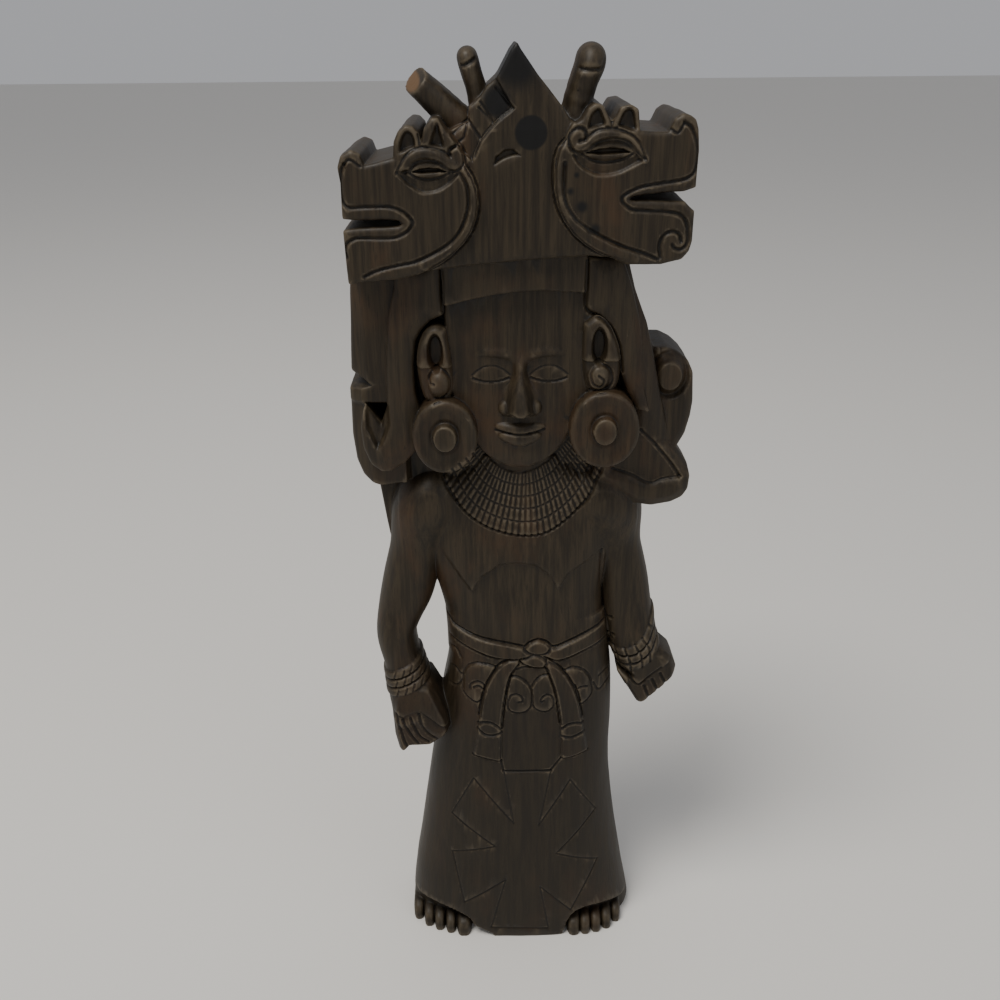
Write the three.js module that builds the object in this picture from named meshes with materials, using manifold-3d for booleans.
// Carved wooden figurine, one solid piece. Millimetres, +Z up, the figure faces -Y.
// Outlines are [x, z] points on the front; depths are measured forward from a middle plane.
import * as THREE from 'three';
import { mergeVertices } from 'three/addons/utils/BufferGeometryUtils.js';
import Module from 'manifold-3d';

const wasm = await Module();
wasm.setup();

// Depths of the main surfaces
const back = 18;
const serpentFront = 30;
const panelFront = 26;
const crestFront = 24;
const drapeFront = 22;
const bandFront = 22.5;
const discFront = 27;
const buttonRaise = 2.2;

// Relief sizes
const grooveWidth = 1.3;
const grooveDepth = 1.3;
const sashRaise = 1.8;
const hemRecess = 6.5;
const hemHeight = 9.5;
const finest = 0.12;

// Face, a plain oval mask in even thirds from hairline to chin
const faceCentre = -0.4;
const chin = 259.5;
const hairline = 331;
const third = (hairline - chin) / 3;
const eyeLine = hairline - third - 8;
const noseBase = chin + third;
const mouthLine = noseBase - third / 3;
const eyeSpacing = 23;

// Solids from geometries
function solid(geometry) {
  const bare = geometry.clone();
  bare.deleteAttribute('normal');
  bare.deleteAttribute('uv');
  const merged = mergeVertices(bare, 1e-4);
  return new wasm.Manifold(new wasm.Mesh({
    numProp: 3,
    vertProperties: new Float32Array(merged.attributes.position.array),
    triVerts: new Uint32Array(merged.index.array),
  }));
}

// Joined solids, with edges shorter than the finest chisel mark cleaned away
function union(solids) {
  return solids.reduce((all, next) => all.add(next)).simplify(finest);
}

function plate(points, front, behind = back, bevel = 0) {
  const shape = new THREE.Shape(points.map(([x, z]) => new THREE.Vector2(x, z)));
  const geometry = new THREE.ExtrudeGeometry(shape, {
    depth: front + behind - 2 * bevel,
    bevelEnabled: bevel > 0,
    bevelThickness: bevel,
    bevelSize: bevel,
    bevelOffset: -bevel,
    bevelSegments: 1,
  });
  geometry.translate(0, 0, bevel - behind);
  geometry.rotateX(Math.PI / 2);
  return geometry;
}

function oval(x, z, rx, rz, count = 20) {
  const points = [];
  for (let i = 0; i < count; i += 1) {
    const angle = (i / count) * 2 * Math.PI;
    points.push([x + rx * Math.cos(angle), z + rz * Math.sin(angle)]);
  }
  return points;
}

function spiral(x, z, outer, inner, start, sweep, count = 7) {
  const points = [];
  for (let i = 0; i <= count; i += 1) {
    const angle = start + (sweep * i) / count;
    const radius = outer + ((inner - outer) * i) / count;
    points.push([x + radius * Math.cos(angle), z + radius * Math.sin(angle)]);
  }
  return points;
}

// Outline of a stroke that follows an open line
function stroke(points, width = grooveWidth) {
  const left = [];
  const right = [];
  points.forEach(([x, z], i) => {
    const [ax, az] = points[Math.max(i - 1, 0)];
    const [bx, bz] = points[Math.min(i + 1, points.length - 1)];
    const half = width / 2 / Math.hypot(bx - ax, bz - az);
    left.push([x - (bz - az) * half, z + (bx - ax) * half]);
    right.unshift([x + (bz - az) * half, z - (bx - ax) * half]);
  });
  return [...left, ...right];
}

// Straight-sided groove in a flat front
function groove(points, front, width = grooveWidth, depth = grooveDepth) {
  return solid(plate(stroke(points, width), front + 6, depth - front));
}

function hollow(points, front, depth) {
  return solid(plate(points, front + 6, depth - front));
}

// Tube-like body through rows of [z, left, right, front, back, roundness], top row first
function loft(rows, around = 22) {
  const geometry = new THREE.CylinderGeometry(1, 1, 1, around, rows.length - 1);
  const position = geometry.attributes.position;
  for (let i = 0; i < position.count; i += 1) {
    const row = rows[Math.round((0.5 - position.getY(i)) * (rows.length - 1))];
    const [z, left, right, front, behind, roundness] = row;
    const across = position.getX(i);
    const ahead = position.getZ(i);
    const power = ahead > 0 ? 2 / roundness : 0.45;
    const x = Math.sign(across) * Math.abs(across) ** power;
    const y = Math.abs(ahead) ** power * (ahead > 0 ? -front : behind);
    position.setXYZ(i, (left + right) / 2 + (x * (right - left)) / 2, y, z);
  }
  return solid(geometry);
}

// Limb through stations of [x, z, half width, y, half depth], top station first
function limb(stations, around = 10) {
  const geometry = new THREE.CylinderGeometry(1, 1, 1, around, stations.length - 1);
  const position = geometry.attributes.position;
  for (let i = 0; i < position.count; i += 1) {
    const at = Math.round((0.5 - position.getY(i)) * (stations.length - 1));
    const [x, z, halfWidth, y, halfDepth] = stations[at];
    const above = stations[Math.max(at - 1, 0)];
    const below = stations[Math.min(at + 1, stations.length - 1)];
    const run = Math.hypot(above[0] - below[0], above[1] - below[1]);
    const across = position.getX(i) * halfWidth;
    const ahead = position.getZ(i) * halfDepth;
    const sideX = (above[1] - below[1]) / run;
    const sideZ = (below[0] - above[0]) / run;
    position.setXYZ(i, x + across * sideX, y - ahead, z + across * sideZ);
  }
  return solid(geometry);
}

function ball(x, y, z, rx, ry, rz, around = 8) {
  const geometry = new THREE.SphereGeometry(1, around, Math.round(around / 2));
  geometry.rotateX(Math.PI / 2);
  geometry.scale(rx, ry, rz);
  geometry.translate(x, y, z);
  return solid(geometry);
}

// Headdress: a thick bar ending in two serpent heads, with a pointed crest in the middle
const headdressOutline = [
  [-59.5, 339.4], [-64.4, 338.4], [-64.9, 357.7], [-64.7, 374.9], [-65.4, 380.2], [-64.2, 384],
  [-60.4, 386], [-57.4, 384.8], [-56, 380.8], [-45.4, 383.2], [-45, 388.6], [-43.4, 392], [-40.8, 393.7],
  [-38.4, 393.4], [-36.4, 391.6], [-35.5, 388.2], [-34.3, 393], [-31.6, 396], [-29.4, 396.2],
  [-26.2, 391.6], [-18.8, 394.6], [8.1, 400.6], [18.9, 394.2], [20.9, 395.2], [23.2, 399], [25.4, 400.4],
  [28.2, 400], [31.4, 394.4], [34.4, 399.3], [37.8, 399.9], [40.4, 398.6], [41.2, 391.4], [51.5, 390.9],
  [53.6, 395.4], [56.2, 397], [58.8, 396.4], [60.8, 395], [61.8, 392], [62.4, 384.8], [62.3, 374.4],
  [62.4, 353.2], [61.5, 349.6], [59, 346.6], [51.5, 344.9], [38.9, 345], [33.7, 347.2], [24.3, 347.8],
  [5.5, 346.6], [-14.2, 345], [-32.2, 343.2], [-46.5, 340.4],
];
const crestOutline = [
  [-25.2, 385.1], [-18.8, 394.6], [-18.4, 399.5], [-14.3, 402.8], [-12.1, 406], [-8.9, 408.8], [-8, 410],
  [-3.9, 417.4], [-1.7, 420], [-0.4, 417.7], [5.4, 409.9], [14.1, 399.4], [18.9, 392.2], [19, 376.1],
  [-18.9, 376],
];
const leftCheek = [
  [-20.1, 380.3], [-17.7, 376.5], [-16.3, 372.6], [-15.8, 367.1], [-16.6, 362.2], [-18.3, 357.7],
  [-21.5, 353.2], [-25.8, 349.1], [-29.2, 346.6], [-33.6, 344.1], [-38.3, 341.6],
];
const leftCheekInner = [
  [-22.1, 378.3], [-20.2, 375], [-19.4, 367], [-20.5, 362.2], [-22.7, 357.8], [-25.7, 354.1],
  [-29.9, 351.3], [-34.3, 349], [-39.4, 347], [-50.9, 344.5], [-58.3, 341.7],
];
const rightCheek = [
  [15.3, 388.9], [13, 386.1], [11.8, 382.5], [11.4, 377.2], [11.8, 370.9], [13, 365.9], [15.3, 361.1],
  [18.8, 356.3], [23.4, 352.4], [27.9, 349.6], [33.3, 347.2], [37.4, 343.4],
];
const rightCheekInner = [
  [15, 381.2], [14.9, 377.1], [15, 370.8], [16.4, 366.2], [19.1, 362], [22.8, 358.9], [26.3, 356.7],
  [31.3, 354.2], [37.6, 351.5], [44.4, 349.3], [49.9, 347],
];
const leftMouth = [
  [-70.1, 362.8], [-64.2, 362.8], [-61.4, 361.9], [-50, 361.8], [-43.6, 360.6], [-50.9, 359.4],
  [-61.9, 359.2], [-70.2, 357.7],
];
const rightMouth = [
  [67.4, 373], [61.1, 373], [58.1, 371], [49.9, 370.6], [44.7, 370.1], [39.1, 368.8], [44, 367.7],
  [58.6, 367.3], [61.5, 364.4], [67.6, 362.6],
];
const leftLip = [
  [-64.1, 378.9], [-64.7, 372.3], [-64.1, 368.2], [-61.2, 366.5], [-49.2, 366.7], [-45.1, 366],
  [-42, 364.1], [-39.6, 361.1], [-41.4, 358.1], [-44.8, 356.4], [-53.2, 355.6], [-61.5, 355.3],
  [-64.3, 352.3],
];
const rightLip = [
  [61.9, 384.8], [61.7, 379.1], [59.8, 376.2], [56, 374.9], [44, 373.1], [40.1, 371.9], [36.3, 368.5],
  [39.6, 364.9], [50.1, 364.2], [57.2, 362.8], [59.8, 358.6], [60.4, 352.9], [57.7, 350.2], [54.7, 352],
];

function serpentEye(x, z, halfWidth, tilt) {
  const turn = (points) => points.map(([u, v]) => [
    x + u * halfWidth * Math.cos(tilt) - v * Math.sin(tilt),
    z + u * halfWidth * Math.sin(tilt) + v * Math.cos(tilt),
  ]);
  return union([
    groove(turn([[-1, 0.4], [-0.6, 3.2], [0, 4.6], [0.55, 3], [1, -0.4]]), serpentFront),
    groove(turn([[-1, 0.4], [-0.5, -5], [0.1, -6.6], [0.6, -4.6], [1, -0.4]]), serpentFront),
    groove(turn([[-0.7, -1], [0, -2.8], [0.7, -0.8]]), serpentFront),
    hollow(turn([[-0.6, 0.1], [-0.2, 1.5], [0.3, 1.5], [0.7, 0.3], [0.1, -0.2]]), serpentFront, 2),
  ]);
}

function headdress() {
  const outer = solid(plate(headdressOutline, serpentFront, back, 1));
  const leftHead = [
    ...leftCheek, [-74.4, 334.4], [-72.9, 404.9], [-25, 404.8], [-25.1, 390.5], [-20.5, 386.9],
  ];
  const rightHead = [
    ...rightCheek, [71.9, 335.3], [70.1, 404.6], [19.7, 404.7], [18.9, 394.9], [16.2, 390.9],
  ];
  const heads = [leftHead, rightHead].map((outline) => outer.intersect(solid(plate(outline, 40, 40))));
  const cuts = union([
    solid(plate(leftMouth, 40, 40)),
    solid(plate(rightMouth, 40, 40)),
    groove(leftCheekInner, serpentFront),
    groove(rightCheekInner, serpentFront),
    groove(leftLip, serpentFront),
    groove(rightLip, serpentFront),
    groove(spiral(55.3, 351.7, 6, 4.8, 3.5, -2.9, 6), serpentFront),
    serpentEye(-33.5, 378.4, 10.6, 0),
    serpentEye(30.2, 383.8, 12.2, -0.06),
    groove(spiral(-23.4, 384.4, 3.2, 1.5, -1, 4.4), serpentFront),
    groove(spiral(19.4, 389.2, 3.3, 1.5, 4, -4.4), serpentFront),
    groove([[-43.7, 379.6], [-41.8, 383.3], [-38.3, 386.1], [-32.4, 386.9], [-27.9, 385.6]], serpentFront),
    groove([[22.5, 389.1], [24.7, 391.4], [31.4, 392.4], [38.4, 390.3], [41.8, 386.4]], serpentFront),
    hollow([[-43.1, 385.1], [-42.5, 389.4], [-40.2, 391.9], [-37.8, 390.1], [-38.3, 387.2]], serpentFront, 3),
    hollow([[-32.5, 388.1], [-31.1, 392.9], [-29.8, 394.2], [-28.4, 391.9], [-27.7, 387.2]], serpentFront, 3),
    hollow([[23.2, 392.4], [23.9, 396.4], [25.9, 398.6], [27.7, 396.9], [28.4, 393.5]], serpentFront, 3),
    hollow([[33.5, 393.5], [35.2, 397.3], [37.4, 398.6], [39, 396.9], [39.4, 391.7]], serpentFront, 3),
    groove([[-63.1, 381.4], [-60.9, 382.9], [-57, 380]], serpentFront, 2, 3),
    groove([[52.4, 392.4], [55.6, 391], [58.2, 393], [60, 389.2]], serpentFront, 1.8, 3),
  ]);
  const panel = solid(plate([
    [-46.8, 340.4], [-32.3, 342.8], [-14.3, 344.5], [5.6, 346.2], [24.5, 347.4], [34, 346.8], [46.7, 345.5],
    [35.5, 366.8],
    [20.9, 388.5], [19, 394.1], [8.2, 400.4], [-18.8, 394.5], [-26.1, 391.5], [-25.2, 381.2], [-29.9, 362],
  ], panelFront));
  const crest = solid(plate(crestOutline, crestFront, 8));
  const crescent = [
    [-10.2, 379.9], [-9.5, 383.6], [-6.3, 385.7], [-2.7, 385.9], [-0.1, 383.6], [-5.4, 382.6],
  ];
  const panelCuts = union([
    groove([[-17.3, 382.6], [-14.8, 388.3], [-11.9, 391.8], [-8.6, 395.1], [-2.9, 399.2]], panelFront),
    groove([[-14.1, 400.8], [-10.1, 394.7]], crestFront, 1.3, 1.6),
    groove([[-8.9, 405.5], [-3.3, 399.5]], crestFront, 1.3, 1.6),
    groove([[-18.8, 395.3], [-14.5, 389.4]], crestFront, 1.3, 1.6),
    hollow(crescent, panelFront, 2.6),
    feathers(),
  ]);
  return union(heads).add(panel).subtract(cuts).add(crest).subtract(panelCuts);
}

// The stepped feathers left of the crest lie a little deeper than the panel
function feathers() {
  const region = [
    [-25.2, 390.2], [-20.8, 383.9], [-17.3, 382.6], [-14.8, 388.3], [-11.9, 391.8], [-8.6, 395.1],
    [-2.9, 399.2], [-9.9, 409.9], [-24.3, 402.8],
  ];
  return solid(plate(region, 40, -crestFront));
}

// Three stub horns with a ring cut below the cap
function horns() {
  const y = -12;
  const tips = [
    { stations: [[-38.6, 408.6, 3.9, y, 6], [-35.6, 405.9, 4.4, y, 7], [-22.8, 394.2, 5.2, y, 9]] },
    {
      stations: [
        [-19.2, 418.8, 1.5, y, 3], [-19.4, 417.4, 3.2, y, 6], [-19, 413.8, 3.8, y, 8],
        [-17.2, 405.6, 3.7, y, 8], [-14.9, 394.4, 4.7, y, 8],
      ],
    },
    {
      stations: [
        [25.3, 419.9, 1.8, y, 4], [25.3, 418.7, 4, y, 8], [25.4, 414, 5.3, y, 10], [23.1, 406.5, 4.8, y, 10],
        [19.6, 390.5, 5.4, y, 10],
      ],
    },
  ];
  const rings = union([
    solid(plate(stroke([[-38.4, 402.4], [-31.6, 409.9]], 1.4), 40, 40)).subtract(limbCore(tips[0].stations)),
    solid(plate(stroke([[-23.6, 412], [-14.6, 416.4]], 1.6), 40, 40)).subtract(limbCore(tips[1].stations)),
    solid(plate(stroke([[18.4, 412.7], [32, 413.4]], 1.8), 40, 40)).subtract(limbCore(tips[2].stations)),
  ]);
  return union(tips.map(({ stations }) => limb(stations))).subtract(rings);
}

function limbCore(stations) {
  return limb(stations.map(([x, z, halfWidth, y, halfDepth]) => [x, z, halfWidth - 1, y, halfDepth - 1]));
}

// Head: a slab of hair behind, side drapes, headband, face
const hairOutline = [
  [-63.5, 341.2], [-64.4, 330.4], [-66.2, 301.1], [-60.4, 296.5], [-55, 295.9], [-67.1, 294.6],
  [-67.4, 271.5], [-66.1, 260.6], [-64, 254.5], [-60.2, 251.2], [-57, 251.7], [-49.4, 253.1],
  [-43.7, 247.1], [27.9, 244.1], [41.4, 242.3], [47.7, 238.7], [56.5, 237.7], [65.2, 239.5], [70.1, 242.9],
  [71.7, 246.2], [71.1, 254.6], [70, 257.8], [63.5, 266.2], [67.6, 270.8], [70.5, 277.8], [70.8, 284],
  [69.6, 297.4], [67.4, 301.5], [63.3, 305], [58.3, 306.9], [53.6, 307], [51.1, 315.5], [45.7, 328.1],
  [41.8, 341.6],
];
const leftDrape = [
  [-29.5, 345.8], [-48.9, 345.7], [-49.5, 335.1], [-52.9, 322.2], [-53.6, 303.2], [-54.4, 286.9],
  [-57.1, 278.4], [-62.8, 288], [-65, 275.7], [-63.5, 265.1], [-61.4, 259.3], [-58.1, 256.6],
  [-54.8, 257.6], [-45.1, 270.2], [-38.5, 273.5], [-43.9, 289.4], [-41.6, 310.9], [-35.7, 320.2],
  [-30.1, 323.4],
];
const rightDrape = [
  [24.1, 347.9], [38.2, 347.9], [43.9, 331], [49.1, 318.7], [51.6, 307.9], [55.6, 291.8], [60.6, 274.6],
  [62.6, 267.9], [68.6, 259.3], [69, 251.5], [61.5, 250.4], [53.7, 246.4], [37.6, 255], [34.6, 274.3],
  [41.9, 282.1], [39.2, 306.9], [35, 318.1], [29.4, 323.7], [24.8, 327.4],
];

const innerDrape = [
  [24.1, 347.9], [38.2, 347.9], [43, 331.3], [45.2, 310.7], [39.7, 306.9], [35, 318.1], [29.4, 323.7],
  [24.8, 327.4],
];

function hair() {
  const slab = plate(hairOutline, 9, back, 1);
  const drape = plate(leftDrape, drapeFront, 0, 1);
  slantFlank(slab);
  slantFlank(drape);
  return union([
    solid(slab),
    solid(drape),
    solid(plate(rightDrape, 16, 0, 1)),
    solid(plate(innerDrape, drapeFront, 0, 1)),
  ]).subtract(union([
    hollow([[-63.8, 288], [-53.8, 287], [-57.8, 278.4]], drapeFront, 16),
    groove(spiral(60, 294.5, 6.4, 4.6, 1.4, -3.6), 9, 2.2, 4),
    groove([[35.4, 273.7], [42, 264.1], [52.4, 255.4], [60.9, 252.6]], 16, 1.6, 1.6),
  ]));
}

// The left flank slants inward toward the front
function slantFlank(geometry) {
  const position = geometry.attributes.position;
  for (let i = 0; i < position.count; i += 1) {
    const x = position.getX(i);
    const lean = (back - position.getY(i)) * 0.16;
    if (x < -50) position.setX(i, x - 3 + lean);
  }
}

function face() {
  const x = faceCentre;
  const half = eyeSpacing / 2;
  const mask = loft([
    [338, x - 29, x + 29, 20, 0, 2.6], [hairline, x - 29, x + 29, 20, 0, 2.6],
    [eyeLine + 10, x - 29, x + 29, 20.5, 0, 2.5], [eyeLine, x - 28.5, x + 28.5, 20, 0, 2.4],
    [noseBase, x - 25.5, x + 25.5, 20, 0, 2.3], [mouthLine - 4, x - 19.5, x + 19.5, 19.5, 0, 2.2],
    [chin + 6, x - 12, x + 12, 18, 0, 2.1], [chin + 1.5, x - 6.5, x + 6.5, 15.5, 0, 2],
    [chin, x - 3, x + 3, 13, 0, 2],
  ], 20);
  const sockets = union([-half, half].map((side) => ball(x + side, -24, eyeLine, 9.5, 6.4, 6, 12)));
  const eyes = union([-half, half].map((side) => ball(x + side, -15.5, eyeLine, 8, 5, 4.4, 12)));
  const nose = loft([
    [eyeLine + 8, x - 2.8, x + 2.8, 20.6, -8, 2], [eyeLine, x - 3, x + 3, 23, -8, 2],
    [noseBase + 8, x - 4, x + 4, 27, -8, 2], [noseBase + 3, x - 6.6, x + 6.6, 28.6, -8, 2],
    [noseBase, x - 6, x + 6, 25, -8, 2],
  ], 10);
  return mask.subtract(sockets).add(union([
    eyes, nose,
    ball(x, -18.6, mouthLine + 1.6, 9, 3.2, 2, 10), ball(x, -18.4, mouthLine - 2, 7.6, 3.2, 2.3, 10),
    ball(x, -15.5, chin + 6, 8, 4.4, 5.4, 10),
  ]));
}

function headband() {
  const outline = [
    [-29.9, 349.7], [-29, 328.1], [-14.7, 331], [-2.7, 332.6], [10.1, 333.2], [24.7, 333], [24.6, 349.9],
  ];
  const behindEars = [
    [-45.1, 340.3], [-45.9, 273.6], [-31, 256.2], [29.3, 257], [50, 269], [49, 300], [45, 322],
    [39.3, 340.7],
  ];
  return solid(plate(outline, bandFront, 0, 0.6)).add(solid(plate(behindEars, 12, 0)));
}

function ear(x, z, curlX, curlZ) {
  const rim = solid(plate(oval(x, z, 7.4, 16, 16), 23, 0, 1.2));
  const cavity = hollow(oval(x + Math.sign(-x) * 1.4, z + 3, 3.6, 9, 10), 23, 5);
  return rim.subtract(cavity).add(ball(curlX, -18, curlZ, 5, 6, 5.6));
}

function earspool(x, z, rx, rz) {
  const disc = solid(plate(oval(x, z, rx, rz, 22), discFront, -10, 1));
  const button = solid(plate(oval(x, z - 0.5, 4.6, 5.4, 12), discFront + buttonRaise, -20, 0.8));
  return disc.add(button);
}

// Torso and its relief
function torsoRows(swell) {
  return [
    [270.3, -18.4, 17.9, 12, 18, 2.2], [254.4, -26.1, 25.6, 13, 18, 2.2], [243.4, -42.7, 42, 13.5, 18, 2.3],
    [234.4, -47.6, 45.9, 14.5, 18, 2.4], [220.2, -45.9, 45.2, 16, 18, 2.4], [196, -38.6, 37.8, 18, 18, 2.4],
    [183.3, -34.2, 38, 19, 18, 2.4], [161.4, -33.2, 41.2, 20.4, 18, 2.4],
  ].map(([z, left, right, front, ...rest]) => [z, left, right, front + swell, ...rest]);
}

function torso() {
  const chest = [
    [-48.4, 247.6], [-40.1, 217.8], [-33.4, 213.9], [-20.6, 199.2], [-18.1, 206.1], [-13.4, 211.3],
    [-2.8, 214.5], [8.4, 212.7],
    [14.4, 207.3], [16.5, 200.6], [24.9, 208.9], [35.8, 216.6], [44.2, 249],
  ];
  const shoulderStrip = [
    [-63.6, 256.4], [-62.3, 244.5], [-57.9, 213.5], [-52.3, 198.3], [-40.6, 198.5], [-40, 256.7],
  ];
  const collarOuter = [
    [-34, 255.7], [-32.3, 252], [-27.6, 242.9], [-20.5, 234.6], [-11.2, 229.7], [-0.1, 227.5], [10.1, 229],
    [19.3, 234.5], [27.4, 243.1], [31.8, 249.7], [33.8, 256.6],
  ];
  const swollen = loft(torsoRows(1.4));
  const collarPlate = solid(plate([...collarOuter, [17.8, 270], [-17.9, 269.6]], 40, 0));
  const collar = loft(torsoRows(2.6)).intersect(collarPlate);
  const rows = [0.84, 0.68, 0.52].map((scale) => {
    const inward = ([x, z]) => [1 + (x - 1) * scale, 250 + (z - 250) * scale];
    const line = collarOuter.filter((point, i) => i % 2 === 1).map(inward);
    return solid(plate(stroke(line, 0.9), 40, 0)).subtract(loft(torsoRows(1.6)));
  });
  return union([
    loft(torsoRows(0)),
    swollen.intersect(solid(plate(chest, 40, 0))),
    collar.subtract(union(rows)),
    solid(plate(shoulderStrip, -6, back, 0.8)),
  ]);
}

// Arms: the left hangs clear of the waist, the right lies close and turns its fist outward
function leftArm() {
  const upper = limb([
    [-36.7, 247.4, 4.8, 1, 8], [-39.6, 240.3, 8.4, 1, 12], [-43.4, 225.6, 10.4, 1, 13.5],
    [-47, 211, 11, 1, 13.5], [-50, 192.6, 13.2, 0, 13.5], [-54.3, 184, 9.9, -1, 13],
    [-57, 174.6, 8.6, -3, 12.5], [-56.8, 167, 8.3, -4, 12.3], [-54.1, 154, 8.5, -5, 12],
    [-52, 143, 10.2, -8, 11.5], [-48.8, 131, 12.4, -9, 12],
  ]);
  const rings = [0, 1, 2].map((i) => limb([
    [-53.6 + i, 156.4 - 4 * i, 8.8 + 0.6 * i, -5.4 - i, 13],
    [-52.8 + i, 153.4 - 4 * i, 9.1 + 0.6 * i, -6 - i, 13],
  ]));
  const hand = solid(plate([
    [-58.6, 144.7], [-60, 132.2], [-59.4, 122], [-57.2, 112.4], [-55.2, 111.5], [-52, 115.6],
    [-42.8, 115.4], [-36.5, 120], [-33.2, 126], [-34.6, 132], [-38, 135.6], [-46, 142.4],
  ], 22, 4, 1.2));
  const fingers = union([0, 1, 2, 3].map((i) => groove(
    [[-54 + 4.6 * i, 124.6 + 0.6 * i], [-53 + 4.6 * i, 115.6], [-49 + 4.6 * i, 108.2 + 1.3 * i]],
    22, 1.2, 1.8,
  )));
  const thumb = groove([[-57.6, 125], [-50, 128], [-41, 127], [-36.4, 121]], 22, 1.4, 1.8);
  return union([upper, ...rings, hand.subtract(fingers.add(thumb))]);
}

function rightArm() {
  const upper = limb([
    [33.4, 246.8, 4.8, 1, 8], [36.9, 240.7, 8.6, 1, 12], [40.3, 228.6, 10.5, 2, 12.5],
    [44.6, 213.7, 9.8, 3, 12], [47.5, 196.5, 10.9, 3, 12], [49.8, 179.1, 11.4, 2, 12],
    [51.8, 168.8, 10.4, 0, 11.5], [55.6, 158.9, 10.1, -2, 11], [58, 152.6, 9.7, -2, 10],
  ]);
  const rings = [0, 1, 2].map((i) => limb([
    [53.4 + 1.8 * i, 167.3 - 3.6 * i, 10.8, -1, 12.2], [55 + 1.8 * i, 164.3 - 3.6 * i, 10.8, -1, 12.2],
  ]));
  const hand = solid(plate([
    [46.3, 159.4], [62.2, 163.4], [67.2, 160.6], [71.5, 156.4], [73.4, 151.6], [73.2, 146.6], [68.4, 141.7],
    [63.5, 135.6], [61.6, 133.1], [57, 130.6], [55.3, 133.8], [44.2, 151],
  ], 12, 8, 1));
  const knuckles = union([0, 1, 2].map((i) => groove(
    [[59.8 + 3.3 * i, 139.6 + 4.4 * i], [64 + 3.1 * i, 134.8 + 4.2 * i]], 12, 1.2, 2,
  )));
  const palm = groove([[53.5, 138], [59.2, 144.9], [67.6, 153.4]], 12, 1.6, 1.8);
  return union([upper, ...rings, hand.subtract(knuckles.add(palm))]);
}

// Skirt, with the sash and the star cut into it
function skirtRows(swell) {
  return [
    [181.2, -33.6, 39.5, 19, back - 1, 2.5], [156.3, -33.4, 42.4, 21.5, back, 2.5],
    [135.3, -37.2, 43.8, 22.7, back, 2.5], [96.8, -43, 44.2, 25.2, back, 2.5],
    [50.8, -50, 49.4, 27.8, back, 2.5], [9, -55.2, 56.4, 30, back, 2.5], [0, -54, 57.4, 30, back, 2.5],
  ].map(([z, left, right, front, ...rest]) => (
    [z, left - swell * 0.4, right + swell * 0.4, front + swell, ...rest]
  ));
}

const belt = [
  [-34.3, 191.7], [-31.5, 189.2], [-25.2, 182.2], [-18.9, 177.6], [-10.2, 173.6], [1.2, 171.5],
  [0.9, 173.9], [6.8, 177], [13.9, 174.3], [13.8, 171.2], [21.9, 174.3], [29.9, 178.7], [37.9, 184],
  [41.3, 186.6], [41.4, 179], [39, 177.3], [32.8, 172.5], [24.7, 168.4], [16, 165.3], [11.1, 166.6],
  [6.2, 168.1], [-0.9, 166.3], [-8.1, 165.7], [-16.3, 167.8], [-24.4, 172.4], [-31.5, 179.4],
  [-34.4, 181.5],
];
const leftTail = [
  [-7.2, 165.9], [-11.7, 160.7], [-15, 154.1], [-17.9, 144.1], [-19.2, 133.8], [-19.9, 126.2],
  [-22.1, 114.1], [-9.9, 110.2], [-9.5, 125.9], [-8.5, 133.7], [-7.3, 147.3], [-5.1, 157.4], [-1.2, 166.8],
];
const rightTail = [
  [11, 167], [14.7, 157], [17.1, 143.5], [18.7, 133.1], [19.4, 124], [19.4, 111.5], [30.7, 115.9],
  [28.7, 127.4], [28.3, 133], [26.6, 143.3], [23.5, 153.5], [19.5, 160.2], [13.4, 167.1],
];
const skirtLines = [
  [[-8, 104.1], [14.3, 103.7]], [[-8, 104.1], [-3.5, 73.1]], [[14.3, 103.7], [8.7, 71.8]],
  [[-3.5, 73.1], [-22.5, 98.8], [-33.6, 75.5], [-12.6, 59]],
  [[8.7, 71.8], [23.7, 96.9], [36.9, 75.1], [17.5, 53.5]],
  [[-12.6, 59], [-34, 52.6], [-28.6, 21.6], [-7.6, 38.2]],
  [[17.5, 53.5], [38.5, 44.6], [25.3, 16.3], [9.5, 33.5]],
  [[-7.6, 38.2], [-15.2, 6.3]], [[9.5, 33.5], [14, 6.3]],
  [[-9.2, 129.6], [-8, 104.1]], [[19.1, 124], [14.3, 103.7]],
  [[-20.4, 128.2], [-14.1, 130.1], [-9.4, 126.8]], [[19.4, 126.8], [23.9, 130.9], [28.7, 130.2]],
  [[-21.4, 116.9], [-9.8, 113.2]], [[19.7, 114.5], [30.4, 118.8]],
  [[-4.3, 156.9], [-2, 151.7], [3.4, 152.3], [5.7, 156.5], [11.1, 156.8], [15.2, 153.2]],
];

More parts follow.
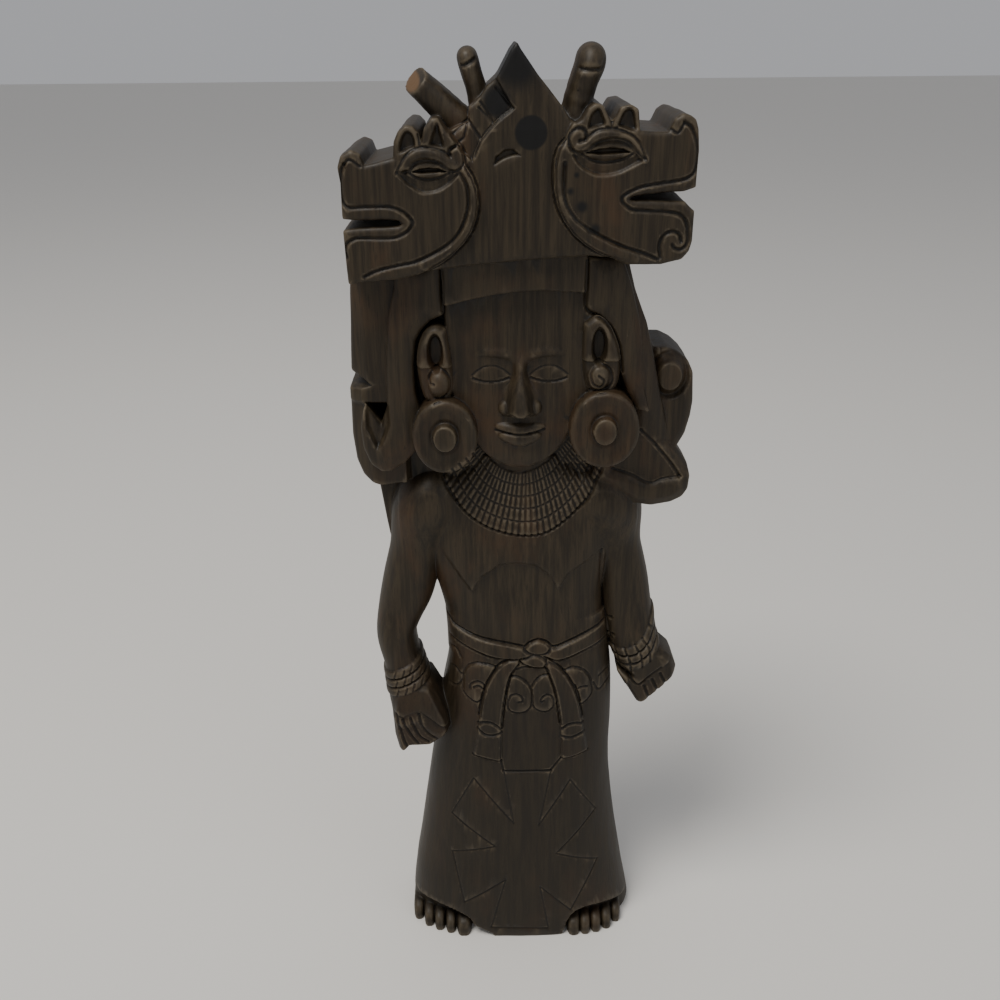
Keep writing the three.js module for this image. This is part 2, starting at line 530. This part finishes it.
function skirt() {
  const core = loft(skirtRows(-1.2));
  const lines = union([
    ...skirtLines.map((line) => solid(plate(stroke(line, 1.2), 50, 0))),
    solid(plate(stroke(spiral(-2.9, 142.7, 4.2, 1.6, 2.6, -5.2), 1.1), 50, 0)),
    solid(plate(stroke(spiral(10.7, 143, 4.2, 1.6, 0.5, 5.2), 1.1), 50, 0)),
    solid(plate(stroke(spiral(-22.5, 148.5, 7, 2, 1.2, 6.4, 10), 1.1), 50, 0)),
    solid(plate(stroke(spiral(25.9, 149.7, 6.2, 2, 2, -6.4, 10), 1.1), 50, 0)),
  ]).subtract(core);
  const sash = loft(skirtRows(sashRaise));
  const leftArch = [
    [-60, -1], [-60, hemHeight], [-40, hemHeight + 1], [-27, hemHeight], [-22.5, 5], [-17, -1],
  ];
  const rightArch = [
    [62, -1], [62, hemHeight], [47, hemHeight + 0.6], [32, hemHeight], [25, 5], [21, -1],
  ];
  const arches = union([
    solid(plate(leftArch, 50, 30)),
    solid(plate(rightArch, 50, 30)),
  ]).subtract(loft(skirtRows(-hemRecess)));
  return union([
    loft(skirtRows(0)).subtract(lines),
    sash.intersect(solid(plate(belt, 50, -2))),
    sash.intersect(solid(plate(leftTail, 50, 0))),
    sash.intersect(solid(plate(rightTail, 50, 0))),
  ]).subtract(arches);
}

// Five toes on each foot, longest by the middle
function feet() {
  const toes = [
    [-51.5, -8, 3, 8.5], [-46.8, -12.5, 3.2, 9.5], [-41.6, -15, 3.3, 10], [-36, -17, 3.4, 10.4],
    [-29.8, -18, 3.8, 11.3], [27, -18, 3.8, 11.6], [33, -19, 3.6, 11], [39, -17.5, 3.4, 10.2],
    [44.8, -15.5, 3.2, 9.6], [50.6, -12, 3.2, 9],
  ];
  const below = solid(plate([[-70, -20], [-70, 0], [70, 0], [70, -20]], 60, 20));
  return union(toes.map(([x, y, rx, ry]) => ball(x, y, 3.4, rx, ry, 5.2))).subtract(below);
}

function figurine() {
  const whole = union([
    headdress(), horns(), hair(), face(), headband(),
    ear(-34.4, 304.2, -32.6, 295), ear(31.5, 307.2, 30.7, 298.1),
    earspool(-30.4, 274.5, 13.1, 15), earspool(33.9, 276.5, 14, 15.3),
    torso(), leftArm(), rightArm(), skirt(), feet(),
  ]);
  const mesh = whole.getMesh();
  const geometry = new THREE.BufferGeometry();
  geometry.setAttribute('position', new THREE.BufferAttribute(mesh.vertProperties, 3));
  geometry.setIndex(new THREE.BufferAttribute(mesh.triVerts, 1));
  geometry.computeBoundingBox();
  const { min, max } = geometry.boundingBox;
  geometry.translate(-(min.x + max.x) / 2, -(min.y + max.y) / 2, -min.z);
  geometry.computeVertexNormals();
  return geometry;
}

const wood = new THREE.MeshStandardMaterial({ color: 0x3a2a20, roughness: 0.6, metalness: 0 });
const part = new THREE.Group();
const carving = new THREE.Mesh(figurine(), wood);
carving.name = 'figurine';
part.add(carving);

export default part;
